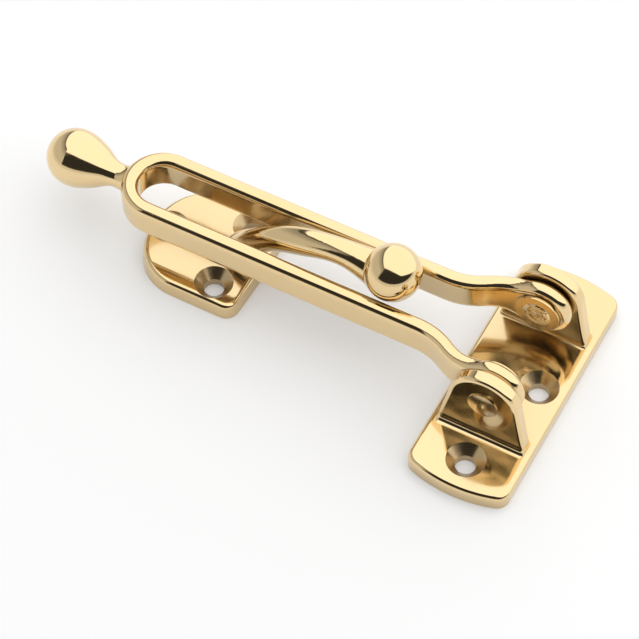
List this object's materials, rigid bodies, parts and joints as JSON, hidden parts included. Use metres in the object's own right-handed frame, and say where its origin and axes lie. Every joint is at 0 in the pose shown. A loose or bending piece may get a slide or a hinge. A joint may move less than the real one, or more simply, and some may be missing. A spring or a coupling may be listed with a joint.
{
  "type": "door guard",
  "caption": "Swing-bar door guard: looped brass bar with a teardrop knob, pivoted on a lugged hinge plate; a swan-neck keep's ball rides in the loop's slot.",
  "frame": {"origin": "centre of the hinge plate's back face, which lies on the door frame", "axes": "+Z out of the backs of both plates, +Y along the pivot, +X from the knob to the hinge plate along the bar"},
  "size_m": [0.1226, 0.0598, 0.028],
  "materials": {
    "brass": "polished and lacquered"
  },
  "bodies": {
    "frame_side": {"hinge_plate": "brass", "pivot_rivet_near": "brass", "pivot_rivet_far": "brass"},
    "bar": {"swing_bar": "brass"},
    "keep_side": {"keep": "brass"}
  },
  "joints": [
    {"name": "bar_swing", "type": "hinge", "parent": "frame_side", "child": "bar", "pos_m": [0, 0, 0.0153], "axis": [0, 1, 0], "range_deg": [0, 160]},
    {"name": "keep_slide", "type": "slide", "parent": "bar", "child": "keep_side", "axis": [1, 0, 0.0096], "range_m": [-0.018, 0.022]}
  ]
}
